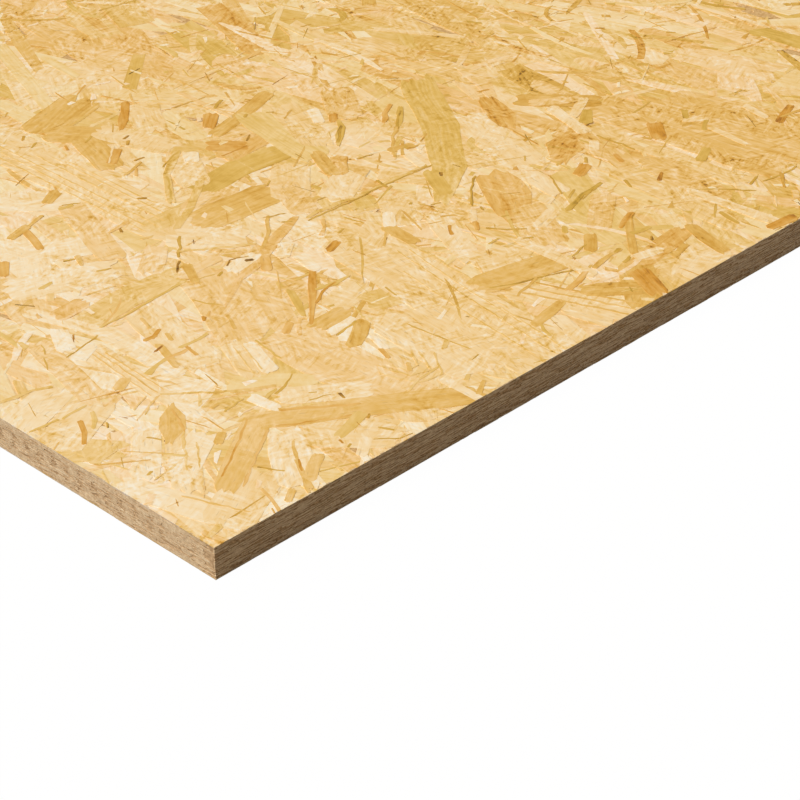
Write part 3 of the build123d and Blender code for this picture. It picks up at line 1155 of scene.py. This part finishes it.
for band in range(FACE_BANDS):
    patch_low, patch_high = face_patch(band, FACE_BANDS, 0, 1)
    seed = UNDERSIDE_SEED + band
    layers = patch_layers(patch_low, patch_high, 0, UNDERSIDE_LAYERS, seed, face_wood)
    patch = finish_patch(grow(strand_layer, layers), sheet_low, sheet_high)
    patch.transform(upside_down)
    keep_piece(f"underside_strands_{band:02d}", patch, face_wood)


# The floor, the lights and the camera.
# A pale studio floor that looks white, one soft key light from the left, and a dim sky.

FLOOR_REACH = 60.0
FLOOR_TINT = (0.32, 0.275, 0.22, 1.0)
FLOOR_WHITE_STRENGTH = 1.03
FLOOR_WHITE_SHARE = 0.96
WHITE = (1.0, 1.0, 1.0, 1.0)
SKY_TINT = (1.0, 0.84, 0.62, 1.0)
SKY_STRENGTH = 0.225
KEY_FROM = Vector((-0.28, -0.60, 0.75))
KEY_STRENGTH = 3.12
KEY_DEGREES = 24
CAMERA_PLACE = (1.97903, -1.23103, 0.69175)
CAMERA_AHEAD = Vector((-0.60031, 0.59397, -0.53556))
CAMERA_RIGHT = Vector((0.70846, 0.70565, -0.01151))
CAMERA_LENS = 119.57


def seen_by(graph, *rays):
    """1 for these kinds of ray, and 0 for all others."""
    path = graph.node("ShaderNodeLightPath").socket.node
    kinds = [Wire(graph, path.outputs[ray]) for ray in rays]
    return graph.math("MINIMUM", sum(kinds[1:], kinds[0]), 1.0)


sides = (-FLOOR_REACH, FLOOR_REACH)
floor_mesh = bpy.data.meshes.new("floor")
floor_mesh.from_pydata([(x, y, 0) for x in sides for y in sides], [], [(0, 2, 3, 1)])
floor = bpy.data.objects.new("floor", floor_mesh)
bpy.context.scene.collection.objects.link(floor)
floor_material, floor_graph = new_material("studio_floor")
seen = seen_by(floor_graph, "Is Camera Ray", "Is Glossy Ray", "Is Transmission Ray")
matt = floor_graph.node("ShaderNodeBsdfDiffuse", {}, {"Color": FLOOR_TINT})
white = floor_graph.node("ShaderNodeEmission", {}, {"Color": WHITE, "Strength": FLOOR_WHITE_STRENGTH})
floor_share = seen * FLOOR_WHITE_SHARE
floor_look = floor_graph.node("ShaderNodeMixShader", {}, {0: floor_share, 1: matt, 2: white})
floor_graph.node("ShaderNodeOutputMaterial", {}, {"Surface": floor_look})
floor_mesh.materials.append(floor_material)

world = bpy.data.worlds.new("studio")
bpy.context.scene.world = world
world.use_nodes = True
world.node_tree.nodes.clear()
sky = Graph(world.node_tree)
seen = seen_by(sky, "Is Camera Ray", "Is Transmission Ray")
dim = sky.node("ShaderNodeBackground", {}, {"Color": SKY_TINT, "Strength": SKY_STRENGTH})
bright = sky.node("ShaderNodeBackground", {}, {"Color": WHITE, "Strength": 1.0})
both = sky.node("ShaderNodeMixShader", {}, {0: seen, 1: dim, 2: bright})
sky.node("ShaderNodeOutputWorld", {}, {"Surface": both})

key_lamp = bpy.data.lights.new("key_light", "SUN")
key_lamp.energy = KEY_STRENGTH
key_lamp.angle = math.radians(KEY_DEGREES)
key = bpy.data.objects.new("key_light", key_lamp)
key.rotation_euler = KEY_FROM.to_track_quat("Z", "Y").to_euler()
bpy.context.scene.collection.objects.link(key)

camera_data = bpy.data.cameras.new("camera")
camera_data.sensor_width = 36.0
camera_data.lens = CAMERA_LENS
camera_data.clip_start = 0.05
camera_data.clip_end = 200.0
camera = bpy.data.objects.new("camera", camera_data)
ahead = CAMERA_AHEAD.normalized()
right = (CAMERA_RIGHT - ahead * CAMERA_RIGHT.dot(ahead)).normalized()
up = right.cross(ahead)
turn = Matrix((right, up, -ahead)).transposed()
camera.matrix_world = Matrix.Translation(CAMERA_PLACE) @ turn.to_4x4()
bpy.context.scene.collection.objects.link(camera)
bpy.context.scene.camera = camera
bpy.context.scene.view_settings.view_transform = "Standard"
